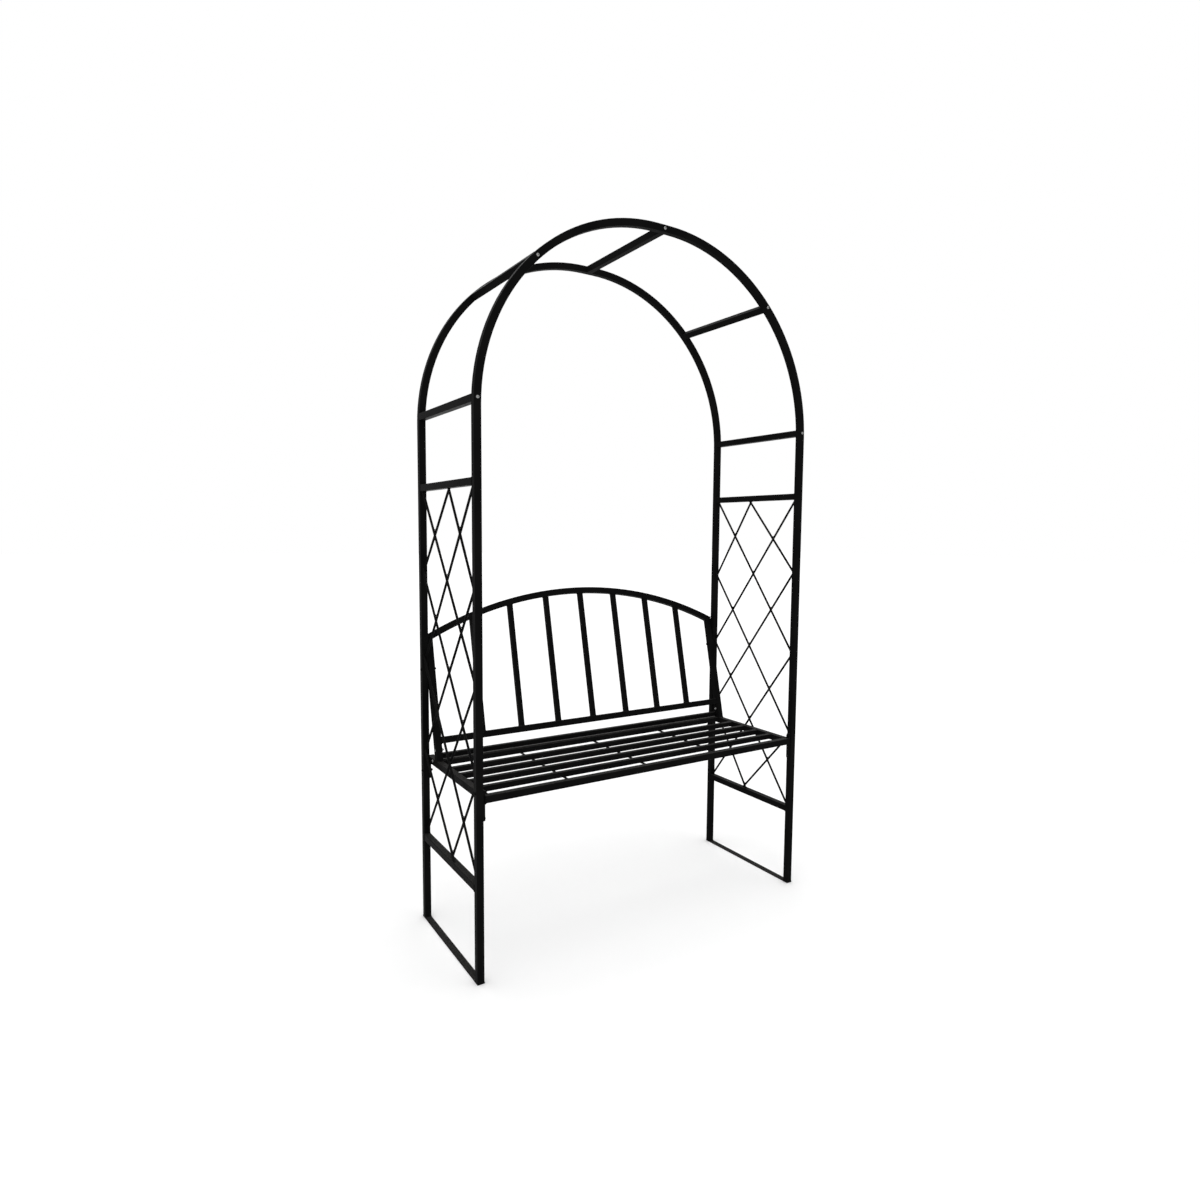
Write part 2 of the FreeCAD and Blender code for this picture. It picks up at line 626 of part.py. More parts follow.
def bolt_shape(length):
    """A round-head bolt along +Z, its head below the XY plane."""
    radius = size("Size.bolt_head") / 2
    height = size("Size.bolt_head_height")
    shank_radius = size("Size.bolt") / 2
    rim = height / 3
    apex = FreeCAD.Vector(0, 0, -height)
    edge = FreeCAD.Vector(radius, 0, -rim)
    dome_radius = ((height - rim) ** 2 + radius ** 2) / (2 * (height - rim))
    half_angle = math.asin(radius / dome_radius) / 2
    bulge = FreeCAD.Vector(
        dome_radius * math.sin(half_angle), 0, dome_radius * (1 - math.cos(half_angle)) - height)
    outline = [
        Part.Arc(apex, bulge, edge).toShape(),
        Part.makeLine(edge, FreeCAD.Vector(radius, 0, 0)),
        Part.makeLine(FreeCAD.Vector(radius, 0, 0), FreeCAD.Vector(shank_radius, 0, 0)),
        Part.makeLine(FreeCAD.Vector(shank_radius, 0, 0), FreeCAD.Vector(shank_radius, 0, length)),
        Part.makeLine(FreeCAD.Vector(shank_radius, 0, length), FreeCAD.Vector(0, 0, length)),
        Part.makeLine(FreeCAD.Vector(0, 0, length), apex),
    ]
    face = Part.Face(Part.Wire(outline))
    return face.revolve(FreeCAD.Vector(), FreeCAD.Vector(0, 0, 1), 360)


def nut_shape():
    """A hexagon nut on the XY plane, with its bore on Z."""
    corner = size("Size.nut_flats") / math.sqrt(3)
    height = size("Size.nut_height")
    turns = [math.radians(60 * step) for step in range(7)]
    corners = [
        FreeCAD.Vector(corner * math.cos(turn), corner * math.sin(turn), 0) for turn in turns]
    blank = Part.Face(Part.makePolygon(corners)).extrude(FreeCAD.Vector(0, 0, height))
    return blank.cut(Part.makeCylinder(size("Size.bolt") / 2, height))


def nut_plate_shape():
    """A square plate that fills a rung's bore, tapped for the bolt; its face is the XY plane."""
    side = size("Size.tube - 2 * Size.wall")
    thickness = size("Size.nut_plate")
    blank = Part.makeBox(side, side, thickness, FreeCAD.Vector(-side / 2, -side / 2, 0))
    return blank.cut(Part.makeCylinder(size("Size.bolt") / 2, thickness))


def group_of(name, shape, spots):
    """One node that holds a copy of the shape at each place."""
    copies = []
    for spot in spots:
        copy = shape.copy()
        copy.Placement = spot
        copies.append(copy)
    group = doc.addObject("Part::Feature", name)
    group.Shape = Part.makeCompound(copies)
    group.Placement = FreeCAD.Placement(FreeCAD.Vector(0, -size(MIDDLE_Y), 0), UPRIGHT)
    group.Label = name
    parts.append(group)


def along(direction, point):
    """A place whose own Z axis points along a direction."""
    turn = FreeCAD.Rotation(FreeCAD.Vector(0, 0, 1), direction)
    return FreeCAD.Placement(point, turn)


def make_rung_fasteners():
    """A bolt from the outer face of each hoop into the tapped plate in each rung's end."""
    bolts, plates = [], []
    for end, end_sign in ENDS:
        inward = FreeCAD.Vector(0, -end_sign, 0)
        for across, up, angle in rung_spots():
            x, z = size(across), size(up)
            bolts.append(along(inward, FreeCAD.Vector(x, end_sign * size("Size.depth / 2"), z)))
            plate = along(inward, FreeCAD.Vector(x, end_sign * size(POST_INNER_Y), z))
            tilt = FreeCAD.Rotation(FreeCAD.Vector(0, 1, 0), -angle)
            plates.append(FreeCAD.Placement(plate.Base, tilt.multiply(plate.Rotation)))
    group_of("rung_bolts", bolt_shape(size("Size.tube + Size.nut_plate + Size.bolt")), bolts)
    group_of("rung_nut_plates", nut_plate_shape(), plates)


def make_bench_fasteners():
    """The bolts and nuts that hold the lugs to the posts and the back's stiles in place."""
    lug_bolts, lower_bolts, back_bolts, foot_bolts = [], [], [], []
    zinc_nuts, painted_nuts, captive_nuts = [], [], []
    post_y = size(POST_Y)
    foot_y = size(f"Size.back_foot_y + Size.back_foot_bolt_rise * sin({LEAN})")
    foot_z = size(f"Size.seat_height + Size.back_foot_bolt_rise * cos({LEAN})")
    for side, sign in SIDES:
        outward = FreeCAD.Vector(sign, 0, 0)

        def at(across, y, z, direction=-outward):
            return along(direction, FreeCAD.Vector(sign * size(across), y, z))

        # from the outside through post and lug, each with a nut on the lug
        for y, alias in ((-post_y, "front_upper_bolt_height"), (post_y, "rear_bolt_height")):
            height = size(f"Size.{alias}")
            lug_bolts.append(at("Size.width / 2", y, height))
            painted_nuts.append(at(LUG_INNER_X, y, height))
        # from the inside through the lower end of the front lug, into a nut held in the post
        height = size("Size.front_lower_bolt_height")
        lower_bolts.append(at(LUG_INNER_X, -post_y, height, outward))
        captive_nuts.append(at(f"{POST_INNER_X} + Size.wall", -post_y, height, outward))
        # from the outside through rear post and stile
        height = size("Size.back_bolt_height")
        back_bolts.append(at("Size.width / 2", post_y, height))
        painted_nuts.append(at(SIDE_BAR_INNER_X, post_y, height))
        # through the stile's foot, and through the side bar under the rear rail
        for y, z in ((foot_y, foot_z), (size("Size.bar_bolt_y"), size("Size.bar_bolt_height"))):
            foot_bolts.append(at(POST_INNER_X, y, z))
            zinc_nuts.append(at(SIDE_BAR_INNER_X, y, z))
    beyond_nut = "Size.nut_height + Size.bolt / 2"
    groups = (
        ("lug_bolts", f"Size.tube + Size.lug_thickness + {beyond_nut}", lug_bolts),
        ("front_lower_bolts", f"Size.lug_thickness + Size.wall + {beyond_nut}", lower_bolts),
        ("back_bolts", f"2 * Size.tube + {beyond_nut}", back_bolts),
        ("back_foot_bolts", f"Size.tube + {beyond_nut}", foot_bolts))
    for name, length, spots in groups:
        group_of(name, bolt_shape(size(length)), spots)
    group_of("zinc_nuts", nut_shape(), zinc_nuts)
    group_of("painted_nuts", nut_shape(), painted_nuts)
    group_of("post_captive_nuts", nut_shape(), captive_nuts)


# Build every piece

for side_name, side_direction in SIDES:
    for end_name, end_direction in ENDS:
        make_post(side_name, side_direction, end_name, end_direction)
        make_lug(side_name, side_direction, end_name, end_direction)
    make_ground_strip(side_name, side_direction)
    make_crossbar(side_name, side_direction, "lower")
    make_crossbar(side_name, side_direction, "upper")
    make_lattice_layer(side_name, side_direction, "falling", -1)
    make_lattice_layer(side_name, side_direction, "rising", 1)
    make_stile(side_name, side_direction)
    make_back_spigot(side_name, side_direction)

for end_name, end_direction in ENDS:
    make_hoop(end_name, end_direction)
for rung_number, (rung_x, rung_z, rung_turn) in enumerate(rung_spots(), start=1):
    make_rung(rung_number, rung_x, rung_z, rung_turn)
make_joint_spigots()

make_seat_frame()
make_back_top_rail()
make_back_lower_rail()
for spindle_number in range(1, 8):
    make_spindle(spindle_number)

make_rung_fasteners()
make_bench_fasteners()
doc.recompute()

# Check everything before any file is written

for thing in doc.Objects:
    if {"Invalid", "Error"} & set(thing.State):
        raise RuntimeError(f"{thing.Name} failed: {thing.State}")
for piece in parts:
    if piece.Shape.isNull() or not piece.Shape.isValid() or not piece.Shape.Solids:
        raise RuntimeError(f"{piece.Label} has no valid solid")

os.makedirs("parts", exist_ok=True)
for piece in parts:
    piece.Shape.exportStep(f"parts/{piece.Label}.step")
print(len(parts), "nodes,", sum(len(piece.Shape.Solids) for piece in parts), "solids")
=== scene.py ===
import json
import math
import random

import bmesh
import bpy
from mathutils import Matrix, Vector


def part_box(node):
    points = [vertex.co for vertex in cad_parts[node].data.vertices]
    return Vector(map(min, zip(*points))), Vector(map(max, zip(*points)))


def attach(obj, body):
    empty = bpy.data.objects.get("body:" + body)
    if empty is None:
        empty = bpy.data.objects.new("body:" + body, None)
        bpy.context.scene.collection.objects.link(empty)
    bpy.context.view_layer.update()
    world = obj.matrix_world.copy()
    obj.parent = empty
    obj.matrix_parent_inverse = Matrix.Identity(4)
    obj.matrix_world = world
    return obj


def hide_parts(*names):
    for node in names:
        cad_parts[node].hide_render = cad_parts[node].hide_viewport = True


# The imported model, which everything else is built round
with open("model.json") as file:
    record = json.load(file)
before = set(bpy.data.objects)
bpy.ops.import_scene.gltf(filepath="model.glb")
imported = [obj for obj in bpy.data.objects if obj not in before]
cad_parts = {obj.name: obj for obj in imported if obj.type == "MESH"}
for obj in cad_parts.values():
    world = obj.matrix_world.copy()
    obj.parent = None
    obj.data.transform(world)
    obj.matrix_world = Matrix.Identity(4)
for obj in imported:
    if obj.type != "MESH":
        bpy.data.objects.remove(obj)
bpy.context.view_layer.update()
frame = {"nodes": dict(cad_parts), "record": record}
nodes = frame["nodes"]
scene = bpy.context.scene


# Materials

PAINT_DARK = (0.0042, 0.0042, 0.0044, 1.0)
PAINT_WORN = (0.0066, 0.0065, 0.0063, 1.0)
# Painted highlight: the light colour of the specks on the paint's upward faces
PAINT_TOP_HIGHLIGHT = (0.030, 0.029, 0.028, 1.0)
# Painted highlight: the light grey of the long weld behind the last slat
WELD_HIGHLIGHT_COLOUR = (0.18, 0.178, 0.174, 1.0)
ZINC_DULL = (0.17, 0.175, 0.175, 1.0)
ZINC_BRIGHT = (0.36, 0.36, 0.35, 1.0)

# Noise cells across a metre
WEAR_PATCHES = 9.0
GLOSS_PATCHES = 45.0
HIGHLIGHT_SPECKS = 260.0
ZINC_GRAIN = 400.0
ORANGE_PEEL = 900.0
ZINC_SCRATCHES = 1500.0

NOISE_RANGE = (0.3, 0.7)        # where nearly all values of a noise lie
SPECK_RANGE = (0.42, 0.6)       # noise values at which a speck of the painted highlight begins and is full
PAINT_ROUGHNESS = (0.24, 0.36)
ZINC_ROUGHNESS = (0.22, 0.38)
PAINT_SPECULAR = 0.004


def new_material(name):
    """A node material with only a Principled shader; gives the material, its tree and the shader."""
    material = bpy.data.materials.new(name)
    material.use_nodes = True
    tree = material.node_tree
    tree.nodes.clear()
    output = tree.nodes.new("ShaderNodeOutputMaterial")
    shader = tree.nodes.new("ShaderNodeBsdfPrincipled")
    tree.links.new(shader.outputs["BSDF"], output.inputs["Surface"])
    return material, tree, shader


def add_node(tree, kind, inputs=None, **settings):
    """A node with its settings and inputs; an input is a plain value or another node's output."""
    node = tree.nodes.new(kind)
    for key, value in settings.items():
        setattr(node, key, value)
    for key, value in (inputs or {}).items():
        if isinstance(value, bpy.types.NodeSocket):
            tree.links.new(value, node.inputs[key])
        else:
            node.inputs[key].default_value = value
    return node


def noise(tree, scale, detail=4.0, roughness=0.55):
    """A noise that stays with the object, with so many cells across a metre."""
    place = add_node(tree, "ShaderNodeTexCoord").outputs["Object"]
    return add_node(tree, "ShaderNodeTexNoise", {
        "Vector": place, "Scale": scale, "Detail": detail, "Roughness": roughness}).outputs["Fac"]


def remap(tree, value, low, high, old_range=NOISE_RANGE):
    """The value moved from its old range to the one from low to high, and held inside it."""
    return add_node(tree, "ShaderNodeMapRange", {
        "Value": value, "From Min": old_range[0], "From Max": old_range[1],
        "To Min": low, "To Max": high}).outputs["Result"]


def blend(tree, factor, first, second):
    """A mix of two colours, each a plain colour or another node's output."""
    return add_node(tree, "ShaderNodeMix", {
        "Factor": factor, "A": first, "B": second}, data_type="RGBA").outputs["Result"]


def bump(tree, height, strength, distance):
    """The normal of a fine relief whose height is a noise and whose depth is in metres."""
    return add_node(tree, "ShaderNodeBump", {
        "Height": height, "Strength": strength, "Distance": distance}).outputs["Normal"]


def painted_top_highlight(tree, steepest, thinnest):
    """How much painted highlight lies on a place, as light specks on a film over upward faces.

    Steepest is the upward part of the normal from which the painted highlight starts, and thinnest the
    film's share.
    """
    normal = add_node(tree, "ShaderNodeNewGeometry").outputs["Normal"]
    upward = add_node(tree, "ShaderNodeSeparateXYZ", {"Vector": normal}).outputs["Z"]
    facing_up = remap(tree, upward, 0.0, 1.0, (steepest, 1.0))
    specks = remap(tree, noise(tree, HIGHLIGHT_SPECKS, detail=6.0), thinnest, 1.0, SPECK_RANGE)
    return add_node(tree, "ShaderNodeMath", {0: facing_up, 1: specks}, operation="MULTIPLY").outputs["Value"]


def paint_material(name, top_highlight, steepest, thinnest):
    """Black powder coat: fine orange peel, patchy gloss, and a painted highlight of one colour as light
    specks on upward faces.
    """
    material, tree, shader = new_material(name)
    coat = blend(tree, remap(tree, noise(tree, WEAR_PATCHES), 0.0, 1.0), PAINT_DARK, PAINT_WORN)
    # Painted highlight: upward faces get lighter specks
    colour = blend(tree, painted_top_highlight(tree, steepest, thinnest), coat, top_highlight)
    gloss = remap(tree, noise(tree, GLOSS_PATCHES), *PAINT_ROUGHNESS)
    peel = bump(tree, noise(tree, ORANGE_PEEL, detail=2.0), strength=0.12, distance=0.0002)
    tree.links.new(colour, shader.inputs["Base Color"])
    tree.links.new(gloss, shader.inputs["Roughness"])
    tree.links.new(peel, shader.inputs["Normal"])
    shader.inputs["Specular IOR Level"].default_value = PAINT_SPECULAR
    return material


def zinc_material():
    """Worn zinc plate: a dull metal with a fine grain and scratches."""
    material, tree, shader = new_material("worn_zinc")
    grain = noise(tree, ZINC_GRAIN)
    colour = blend(tree, remap(tree, grain, 0.0, 1.0), ZINC_DULL, ZINC_BRIGHT)
    scratches = bump(tree, noise(tree, ZINC_SCRATCHES, detail=2.0), strength=0.1, distance=0.0001)
    tree.links.new(colour, shader.inputs["Base Color"])
    tree.links.new(scratches, shader.inputs["Normal"])
    tree.links.new(remap(tree, grain, *ZINC_ROUGHNESS), shader.inputs["Roughness"])
    shader.inputs["Metallic"].default_value = 1.0
    return material


# The black coat's upward faces get the painted highlight as light specks
PAINT = paint_material("black_powder_coat", PAINT_TOP_HIGHLIGHT, steepest=0.5, thinnest=0.25)
# The long weld down in its gap gets an even light film, also on its sides: a painted highlight
WELD_HIGHLIGHT_PAINT = paint_material("weld_highlight_paint", WELD_HIGHLIGHT_COLOUR, steepest=-0.6, thinnest=0.75)
ZINC = zinc_material()
FINISHES = {"black_paint": PAINT, "black_bolt": PAINT, "zinc": ZINC}

for subpart in frame["record"]["subparts"]:
    thing = nodes[subpart["node"]]
    thing.data.materials.clear()
    thing.data.materials.append(FINISHES[subpart["material_slot"]])


# Pieces

MM = 0.001
SAME_PLACE = 0.001 * MM     # corners nearer than this are one corner
X_AXIS, Y_AXIS, Z_AXIS = range(3)
INWARD, OUTWARD = 1, -1
SMOOTH_UP_TO = math.radians(35)     # edges with a larger turn stay sharp
STEPS_ROUND = 48

BEAD_SIDES = 8
BEAD_STEP = 0.9 * MM        # from one ring of a bead to the next
RIPPLE = 0.14               # height of the ripples, as a share of the radius
RIPPLE_TURN = 1.6           # how far a ripple goes on from ring to ring, in radians
LUMP = 0.1                  # size of the random lumps, as a share of the radius
FIRST_RING = 0.55           # an open end's first ring, as a share of the radius
RING_GROWTH = 0.3           # how much each next ring is larger, up to the full radius


def box_middle(name):
    """The middle of a node's box at rest."""
    low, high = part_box(name)
    return (low + high) / 2


def add_piece(name, mesh, material, slot, *replaced):
    """Make the bmesh an object that rides on the body and stands for the nodes it replaces."""
    bmesh.ops.recalc_face_normals(mesh, faces=mesh.faces)
    data = bpy.data.meshes.new(name)
    mesh.to_mesh(data)
    mesh.free()
    for face in data.polygons:
        face.use_smooth = True
    data.set_sharp_from_angle(angle=SMOOTH_UP_TO)
    data.materials.append(material)
    piece = bpy.data.objects.new(name, data)
    scene.collection.objects.link(piece)
    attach(piece, "root")
    if replaced:
        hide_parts(*replaced)
    return piece


def skin_loops(mesh, loops, closed=False):
    """Faces between each loop of corners and the next; closed joins the last to the first."""
    pairs = list(zip(loops, loops[1:]))
    if closed:
        pairs.append((loops[-1], loops[0]))
    for lower, upper in pairs:
        for corner in range(len(lower)):
            after = (corner + 1) % len(lower)
            mesh.faces.new((lower[corner], lower[after], upper[after], upper[corner]))
    if not closed:
        mesh.faces.new(tuple(reversed(loops[0])))
        mesh.faces.new(loops[-1])


def bead_spots(points, closed):
    """The middles of a bead's rings, in even steps along each run of a polyline."""
    corners = [Vector(point) for point in points]
    if closed:
        corners.append(corners[0])
    spots = []
    for start, stop in zip(corners, corners[1:]):
        count = max(2, round((stop - start).length / BEAD_STEP))
        for step in range(count):
            spots.append(start.lerp(stop, step / count))
    if not closed:
        spots.append(corners[-1])
    return spots


def add_bead(mesh, points, radius, seed, closed=False):
    """A weld bead: a lumpy round cord along a polyline, with its stacked ripples."""
    shake = random.Random(seed)
    spots = bead_spots(points, closed)
    last = len(spots) - 1
    loops = []
    for index, spot in enumerate(spots):
        before = spots[index - 1] if closed or index else spot
        after = spots[(index + 1) % len(spots)] if closed or index < last else spot
        turn = (after - before).to_track_quat("Z", "Y").to_matrix()
        thick = radius * (1 + RIPPLE * math.sin(index * RIPPLE_TURN) + shake.uniform(-LUMP, LUMP))
        if not closed:
            thick *= min(1.0, FIRST_RING + RING_GROWTH * min(index, last - index))
        loop = []
        for side in range(BEAD_SIDES):
            angle = 2 * math.pi * side / BEAD_SIDES
            offset = Vector((thick * math.cos(angle), thick * math.sin(angle), 0))
            loop.append(mesh.verts.new(spot + turn @ offset))
        loops.append(loop)
    skin_loops(mesh, loops, closed)


def add_rings(mesh, place, rings):
    """Skin a closed surface over rings; each ring gives radius and height from the turn about Z."""
    loops = []
    for ring in rings:
        loop = []
        for step in range(STEPS_ROUND):
            turn = 2 * math.pi * step / STEPS_ROUND
            radius, height = ring(turn)
            spot = Vector((radius * math.cos(turn), radius * math.sin(turn), height))
            loop.append(mesh.verts.new(place @ spot))
        loops.append(loop)
    skin_loops(mesh, loops)


def circle(radius, height):
    """A round ring, in mm."""
    return lambda turn: (radius * MM, height * MM)


def hexagon(flat_radius, height, fall=0.0, free_radius=0.0):
    """A hexagon ring, in mm; beyond free_radius it falls back, as a chamfer does at corners."""
    def ring(turn):
        sixth = math.pi / 3
        radius = flat_radius / math.cos(turn % sixth - sixth / 2)
        return radius * MM, (height - fall * max(0.0, radius - free_radius)) * MM
    return ring


# Bolts and nuts, in mm
BOLT_RADIUS = 2.5
HEAD_RADIUS, HEAD_HEIGHT = 4.5, 2.5
HEAD_RIM = 0.6              # straight part of the head, below its dome
CROWN_RADIUS = 2.1          # flat ring round the socket
SOCKET_RADIUS, SOCKET_DEPTH = 1.5, 1.7
SOCKET_POINT = 0.3          # small face at the bottom of the socket
DOME_SHARES = (0.25, 0.5, 0.75, 0.93)   # rings of the dome, as shares of a quarter turn
NUT_RADIUS, NUT_HEIGHT = 4.0, 4.0
NUT_CHAMFER = math.radians(30)
NUT_FACE_RADIUS = 0.96 * NUT_RADIUS     # round end face inside the chamfer
THREAD_PITCH, THREAD_DEPTH = 0.8, 0.4
LONGEST_THREAD = 8.0
SHANK_POINT = 0.5           # small face in the middle of a shank's end
EDGE_BREAK = 0.15           # bevel of the small edges


def bolt_rings(length):
    """A button head with a hexagon socket, below its seat at height 0, and a threaded shank."""
    top = -HEAD_HEIGHT
    rings = [hexagon(SOCKET_POINT, top + SOCKET_DEPTH + EDGE_BREAK)]
    rings += [hexagon(SOCKET_RADIUS, top + SOCKET_DEPTH), hexagon(SOCKET_RADIUS, top + EDGE_BREAK)]
    rings.append(circle(CROWN_RADIUS, top))
    for share in DOME_SHARES:
        turn = share * math.pi / 2
        across = CROWN_RADIUS + (HEAD_RADIUS - CROWN_RADIUS) * math.sin(turn)
        rings.append(circle(across, top + (HEAD_HEIGHT - HEAD_RIM) * (1 - math.cos(turn))))
    rings += [circle(HEAD_RADIUS, -HEAD_RIM), circle(HEAD_RADIUS, -EDGE_BREAK)]
    rings += [circle(HEAD_RADIUS - EDGE_BREAK, 0), circle(BOLT_RADIUS, 0)]
    turns = int(min(LONGEST_THREAD, length - BOLT_RADIUS) / THREAD_PITCH)
    for turn in range(turns):
        start = length - (turns - turn) * THREAD_PITCH
        rings.append(circle(BOLT_RADIUS, start))
        rings.append(circle(BOLT_RADIUS - THREAD_DEPTH, start + THREAD_PITCH / 2))
    rings += [circle(BOLT_RADIUS - THREAD_DEPTH, length), circle(SHANK_POINT, length)]
    return rings


def nut_rings():
    """A hexagon nut with both of its ends chamfered."""
    slope, free = math.tan(NUT_CHAMFER), NUT_FACE_RADIUS
    bore = BOLT_RADIUS - EDGE_BREAK
    bevel = 2 * EDGE_BREAK
    rings = [circle(bore, bevel), circle(bore + bevel, 0), circle(free, 0)]
    rings += [hexagon(NUT_RADIUS, 0, -slope, free), hexagon(NUT_RADIUS, NUT_HEIGHT, slope, free)]
    rings += [circle(free, NUT_HEIGHT), circle(bore + bevel, NUT_HEIGHT)]
    rings.append(circle(bore, NUT_HEIGHT - bevel))
    return rings


def aim(point, direction):
    """A place at a point whose own Z axis points along a direction."""
    return Matrix.Translation(point) @ Vector(direction).to_track_quat("Z", "Y").to_matrix().to_4x4()


def solids_of(name):
    """The corner points of each separate solid in a node."""
    mesh = bmesh.new()
    mesh.from_mesh(nodes[name].data)
    bmesh.ops.remove_doubles(mesh, verts=mesh.verts, dist=SAME_PLACE)
    solids, seen = [], set()
    for first in mesh.verts:
        if first in seen:
            continue
        stack, points = [first], []
        seen.add(first)
        while stack:
            vertex = stack.pop()
            points.append(vertex.co.copy())
            for edge in vertex.link_edges:
                other = edge.other_vert(vertex)
                if other not in seen:
                    seen.add(other)
                    stack.append(other)
        solids.append(points)
    mesh.free()
    return solids


def reach(points):
    """Lowest and highest corner of the points' box."""
    low = Vector([min(point[axis] for point in points) for axis in range(3)])
    high = Vector([max(point[axis] for point in points) for axis in range(3)])
    return low, high


def make_bolts(node, axis, heading, material, slot):
    """Round-head bolts in place of a node's plain ones, their shanks heading in or out."""
    mesh = bmesh.new()
    for points in solids_of(node):
        low, high = reach(points)
        seat = (low + high) / 2
        sign = heading * (1 if seat[axis] < 0 else -1)
        direction = Vector([sign if index == axis else 0 for index in range(3)])
        length = (high - low)[axis] / MM - HEAD_HEIGHT
        seat[axis] = (low[axis] if sign > 0 else high[axis]) + sign * HEAD_HEIGHT * MM
        add_rings(mesh, aim(seat, direction), bolt_rings(length))
    add_piece(f"{node}_detailed", mesh, material, slot, node)


def make_nuts(node, material, slot):
    """Chamfered nuts in place of a node's plain ones, each with its seat towards the post."""
    mesh = bmesh.new()
    for points in solids_of(node):
        low, high = reach(points)
        seat = (low + high) / 2
        side = 1 if seat.x > 0 else -1
        seat.x = high.x if side > 0 else low.x
        add_rings(mesh, aim(seat, (-side, 0, 0)), nut_rings())
    add_piece(f"{node}_detailed", mesh, material, slot, node)


make_bolts("rung_bolts", Y_AXIS, INWARD, ZINC, "zinc")
make_bolts("lug_bolts", X_AXIS, INWARD, PAINT, "black_bolt")
make_bolts("front_lower_bolts", X_AXIS, OUTWARD, PAINT, "black_bolt")
make_bolts("back_bolts", X_AXIS, INWARD, PAINT, "black_bolt")
make_bolts("back_foot_bolts", X_AXIS, INWARD, ZINC, "black_bolt")
make_nuts("zinc_nuts", ZINC, "zinc")
make_nuts("painted_nuts", PAINT, "black_bolt")


# Welds

BEAD = 1.5 * MM             # radius of a common bead
LONG_BEAD = 1.5 * BEAD      # in the gap behind the last slat
CORNER_BEAD = 2.8 * BEAD    # in the corner under the front rail
INSET = 0.4 * MM            # how far a bead's line lies inside a tube's outer face

# Beads on thin rods, as shares of the rod's radius
ROD_END_BEAD = 0.3
CROSSING_TACK, CROSSING_TACK_HALF, CROSSING_TACK_RISE = 0.45, 0.6, 1.3
SLAT_TACK, SLAT_TACK_HALF, SLAT_TACK_DROP = 0.4, 0.8, 1 / 3
CUT_AT_POST, CUT_AT_CROSSBAR = 1.5, 1.3     # half length of a rod's slanting cut

FLANK_SHARE = 0.8           # a tube's flank starts at this share of its half width
LEVEL_WITHIN = 0.1 * MM     # corners within this height of the lowest one are the foot's

SLATS, SPINDLES = 5, 7
ACROSS = Vector((1, 0, 0))
BACKWARD = Vector((0, 1, 0))
UPWARD = Vector((0, 0, 1))
UP_THE_BACK = (box_middle("back_spindle_4") - box_middle("back_lower_rail")).normalized()
OUT_OF_BACK = UP_THE_BACK.cross(ACROSS)


def around(middle, first, second):
    """The four corners of a rectangle, from its middle and two half-side vectors."""
    return [middle - first - second, middle + first - second,
            middle + first + second, middle - first + second]


def ellipse(middle, first, second):
    """Eight points round an ellipse, from its middle and two half-axis vectors."""
    turns = [step * math.pi / 4 for step in range(8)]
    return [middle + math.cos(turn) * first + math.sin(turn) * second for turn in turns]


def half_side(name, axis):
    """Half of a node's size along an axis, as far as the line of a bead round it."""
    low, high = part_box(name)
    return (high[axis] - low[axis]) / 2 - INSET


def weld_tube_end(mesh, name, axis, at_high_end, seed):
    """A bead round one end of a node whose square tube runs along one of the frame's axes."""
    middle = box_middle(name)
    middle[axis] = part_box(name)[1 if at_high_end else 0][axis]
    sides = []
    for other in range(3):
        if other != axis:
            side = Vector()
            side[other] = half_side(name, other)
            sides.append(side)
    add_bead(mesh, around(middle, *sides), BEAD, seed, closed=True)


def weld_tube_ends(mesh, name, axis, seed):
    """A bead round both ends of such a tube."""
    weld_tube_end(mesh, name, axis, False, seed)
    weld_tube_end(mesh, name, axis, True, seed + 1)


def rod_lines(name):
    """The middles of both cut ends of each rod in a lattice layer, the lower one first."""
    lines = []
    for points in solids_of(name):
        low, high = reach(points)
        middle = (low + high) / 2
        ends = []
        for upper in (False, True):
            ring = [point for point in points if (point.z > middle.z) == upper]
            ends.append(sum(ring, Vector()) / len(ring))
        lines.append(ends)
    return lines


def crossing(first, second):
    """Where two rods cross in the plane of their panel, or None."""
    start, along = first[0], first[1] - first[0]
    other_start, other_along = second[0], second[1] - second[0]
    gap = other_start - start
    area = along.y * other_along.z - along.z * other_along.y
    share = (gap.y * other_along.z - gap.z * other_along.y) / area
    other_share = (gap.y * along.z - gap.z * along.y) / area
    if min(share, other_share) < 0 or max(share, other_share) > 1:
        return None
    return (start + share * along + other_start + other_share * other_along) / 2


def tack_crossings(mesh, falling, rising, rod_radius, seed):
    """A tack above and below each crossing of two rods; gives the next free seed."""
    for first in falling:
        for second in rising:
            spot = crossing(first, second)
            if spot is None:
                continue
            for up in (-1, 1):
                tack = spot + up * CROSSING_TACK_RISE * rod_radius * UPWARD
                half = CROSSING_TACK_HALF * rod_radius * BACKWARD
                add_bead(mesh, [tack - half, tack + half], CROSSING_TACK * rod_radius, seed)
                seed += 1
    return seed


def make_lattice_welds(side):
    """The tacks at the crossings, and a small bead round each rod's end."""
    mesh = bmesh.new()
    falling, rising = [rod_lines(f"{side}_lattice_{layer}_rods") for layer in ("falling", "rising")]
    low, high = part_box(f"{side}_lattice_falling_rods")
    rod_radius = (high.x - low.x) / 2
    seed = tack_crossings(mesh, falling, rising, rod_radius, seed=100)
    panel_low, panel_high = reach([end for line in falling + rising for end in line])
    for line in falling + rising:
        for end in line:
            at_post = min(end.y - panel_low.y, panel_high.y - end.y) < rod_radius
            cut = CUT_AT_POST * UPWARD if at_post else CUT_AT_CROSSBAR * BACKWARD
            ring = ellipse(end, rod_radius * cut, rod_radius * ACROSS)
            add_bead(mesh, ring, ROD_END_BEAD * rod_radius, seed, closed=True)
            seed += 1
    add_piece(f"{side}_lattice_welds", mesh, PAINT, "black_paint")


